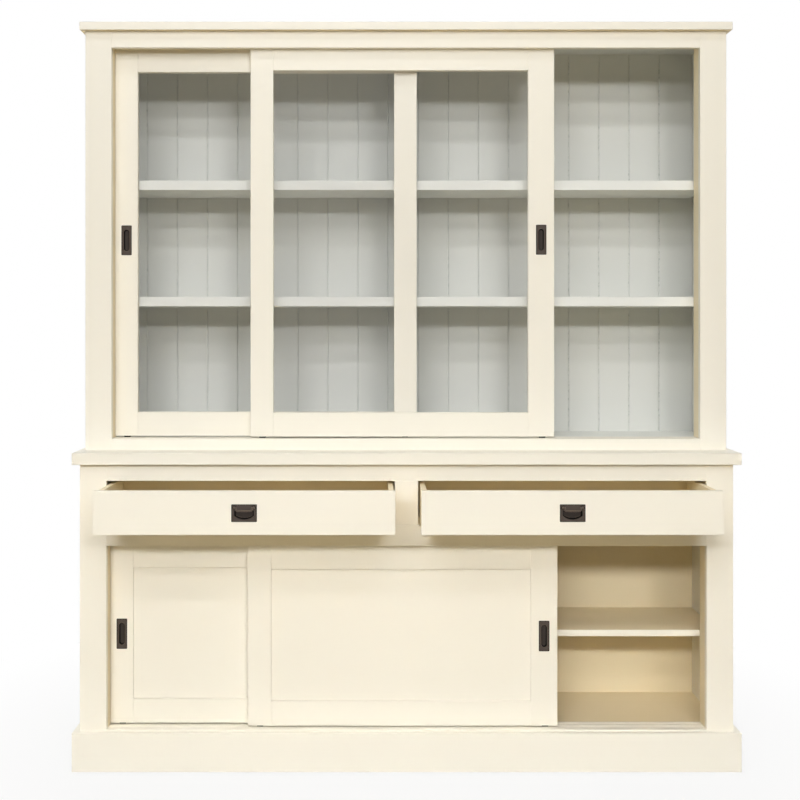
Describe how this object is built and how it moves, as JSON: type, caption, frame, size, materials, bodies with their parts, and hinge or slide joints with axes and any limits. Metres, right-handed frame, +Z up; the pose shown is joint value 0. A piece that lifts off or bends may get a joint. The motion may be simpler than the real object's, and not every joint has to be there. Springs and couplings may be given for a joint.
{
  "type": "china cabinet",
  "caption": "Wide painted cabinet: a glazed hutch with shelves and sliding doors on a base with drawers and a cupboard behind sliding panel doors.",
  "frame": {"origin": "on the floor, under the middle of the worktop and of the plinth bearer", "axes": "+X to the right seen from the front, +Y towards the wall behind, +Z up; the front faces -Y"},
  "size_m": [2, 0.638, 2.258],
  "materials": {
    "cream_paint": "satin cream paint on wood",
    "grey_paint": "matt pale grey paint on wood",
    "clear_glass": "clear polished",
    "dark_bronze": "dark bronze, satin",
    "zinc_steel": "zinc plated",
    "nylon": "matt"
  },
  "bodies": {
    "cabinet": {"skirting_boards": "cream_paint", "base_sides": "cream_paint", "base_posts": "cream_paint", "base_rails": "cream_paint", "drawer_divider": "cream_paint", "base_floor": "cream_paint", "floor_bearer": "cream_paint", "base_partition": "cream_paint", "base_back": "cream_paint", "base_shelves": "cream_paint", "base_sill": "cream_paint", "base_door_guide": "cream_paint", "base_jambs": "cream_paint", "worktop": "cream_paint", "drawer_runners": "cream_paint", "hutch_sides": "cream_paint", "hutch_posts": "cream_paint", "hutch_rails": "cream_paint", "hutch_sill": "cream_paint", "hutch_door_guide": "cream_paint", "hutch_jambs": "cream_paint", "crown_board": "cream_paint", "hutch_floor": "grey_paint", "hutch_partition": "grey_paint", "hutch_back_boards": "grey_paint", "hutch_shelves": "grey_paint", "shelf_brackets": "zinc_steel"},
    "base_front_door": {"base_front_door_frame": "cream_paint", "base_front_door_panel": "cream_paint", "base_front_door_pull": "dark_bronze", "base_front_door_wheel_housings": "zinc_steel"},
    "base_front_door_left_wheel": {"base_front_door_left_wheel": "nylon"},
    "base_front_door_right_wheel": {"base_front_door_right_wheel": "nylon"},
    "base_rear_door": {"base_rear_door_frame": "cream_paint", "base_rear_door_panel": "cream_paint", "base_rear_door_pull": "dark_bronze", "base_rear_door_wheel_housings": "zinc_steel"},
    "base_rear_door_left_wheel": {"base_rear_door_left_wheel": "nylon"},
    "base_rear_door_right_wheel": {"base_rear_door_right_wheel": "nylon"},
    "hutch_front_door": {"hutch_front_door_frame": "cream_paint", "hutch_front_door_glass": "clear_glass", "hutch_front_door_pull": "dark_bronze", "hutch_front_door_wheel_housings": "zinc_steel"},
    "hutch_front_door_left_wheel": {"hutch_front_door_left_wheel": "nylon"},
    "hutch_front_door_right_wheel": {"hutch_front_door_right_wheel": "nylon"},
    "hutch_rear_door": {"hutch_rear_door_frame": "cream_paint", "hutch_rear_door_glass": "clear_glass", "hutch_rear_door_pull": "dark_bronze", "hutch_rear_door_wheel_housings": "zinc_steel"},
    "hutch_rear_door_left_wheel": {"hutch_rear_door_left_wheel": "nylon"},
    "hutch_rear_door_right_wheel": {"hutch_rear_door_right_wheel": "nylon"},
    "left_drawer": {"left_drawer_front": "cream_paint", "left_drawer_box": "cream_paint", "left_drawer_pull": "dark_bronze"},
    "left_drawer_bail": {"left_drawer_bail": "dark_bronze"},
    "right_drawer": {"right_drawer_front": "cream_paint", "right_drawer_box": "cream_paint", "right_drawer_pull": "dark_bronze"},
    "right_drawer_bail": {"right_drawer_bail": "dark_bronze"}
  },
  "joints": [
    {"name": "base_front_door_slide", "type": "slide", "parent": "cabinet", "child": "base_front_door", "axis": [1, 0, 0], "range_m": [-0.421, 0.443]},
    {"name": "base_front_door_left_wheel_turn", "type": "hinge", "parent": "base_front_door", "child": "base_front_door_left_wheel", "pos_m": [-0.442, -0.17, 0.1293], "axis": [0, 1, 0], "continuous": true},
    {"name": "base_front_door_right_wheel_turn", "type": "hinge", "parent": "base_front_door", "child": "base_front_door_right_wheel", "pos_m": [0.42, -0.17, 0.1293], "axis": [0, 1, 0], "continuous": true},
    {"name": "base_rear_door_slide", "type": "slide", "parent": "cabinet", "child": "base_rear_door", "axis": [1, 0, 0], "range_m": [0, 0.864]},
    {"name": "base_rear_door_left_wheel_turn", "type": "hinge", "parent": "base_rear_door", "child": "base_rear_door_left_wheel", "pos_m": [-0.863, -0.141, 0.1293], "axis": [0, 1, 0], "continuous": true},
    {"name": "base_rear_door_right_wheel_turn", "type": "hinge", "parent": "base_rear_door", "child": "base_rear_door_right_wheel", "pos_m": [-0.001, -0.141, 0.1293], "axis": [0, 1, 0], "continuous": true},
    {"name": "hutch_front_door_slide", "type": "slide", "parent": "cabinet", "child": "hutch_front_door", "axis": [1, 0, 0], "range_m": [-0.422, 0.442]},
    {"name": "hutch_front_door_left_wheel_turn", "type": "hinge", "parent": "hutch_front_door", "child": "hutch_front_door_left_wheel", "pos_m": [-0.441, -0.095, 0.9953], "axis": [0, 1, 0], "continuous": true},
    {"name": "hutch_front_door_right_wheel_turn", "type": "hinge", "parent": "hutch_front_door", "child": "hutch_front_door_right_wheel", "pos_m": [0.421, -0.095, 0.9953], "axis": [0, 1, 0], "continuous": true},
    {"name": "hutch_rear_door_slide", "type": "slide", "parent": "cabinet", "child": "hutch_rear_door", "axis": [1, 0, 0], "range_m": [0, 0.864]},
    {"name": "hutch_rear_door_left_wheel_turn", "type": "hinge", "parent": "hutch_rear_door", "child": "hutch_rear_door_left_wheel", "pos_m": [-0.863, -0.066, 0.9953], "axis": [0, 1, 0], "continuous": true},
    {"name": "hutch_rear_door_right_wheel_turn", "type": "hinge", "parent": "hutch_rear_door", "child": "hutch_rear_door_right_wheel", "pos_m": [-0.001, -0.066, 0.9953], "axis": [0, 1, 0], "continuous": true},
    {"name": "left_drawer_slide", "type": "slide", "parent": "cabinet", "child": "left_drawer", "axis": [0, -1, 0], "range_m": [-0.2, 0.1]},
    {"name": "left_drawer_bail_lift", "type": "hinge", "parent": "left_drawer", "child": "left_drawer_bail", "pos_m": [-0.4675, -0.4098, 0.815], "axis": [-1, 0, 0], "range_deg": [0, 90]},
    {"name": "right_drawer_slide", "type": "slide", "parent": "cabinet", "child": "right_drawer", "axis": [0, -1, 0], "range_m": [-0.2, 0.1]},
    {"name": "right_drawer_bail_lift", "type": "hinge", "parent": "right_drawer", "child": "right_drawer_bail", "pos_m": [0.4675, -0.4098, 0.815], "axis": [-1, 0, 0], "range_deg": [0, 90]}
  ],
  "couplings": [
    {"joint": "base_front_door_left_wheel_turn", "follows": "base_front_door_slide", "rad_per_m": 83.333},
    {"joint": "base_front_door_right_wheel_turn", "follows": "base_front_door_slide", "rad_per_m": 83.333},
    {"joint": "base_rear_door_left_wheel_turn", "follows": "base_rear_door_slide", "rad_per_m": 83.333},
    {"joint": "base_rear_door_right_wheel_turn", "follows": "base_rear_door_slide", "rad_per_m": 83.333},
    {"joint": "hutch_front_door_left_wheel_turn", "follows": "hutch_front_door_slide", "rad_per_m": 83.333},
    {"joint": "hutch_front_door_right_wheel_turn", "follows": "hutch_front_door_slide", "rad_per_m": 83.333},
    {"joint": "hutch_rear_door_left_wheel_turn", "follows": "hutch_rear_door_slide", "rad_per_m": 83.333},
    {"joint": "hutch_rear_door_right_wheel_turn", "follows": "hutch_rear_door_slide", "rad_per_m": 83.333}
  ]
}
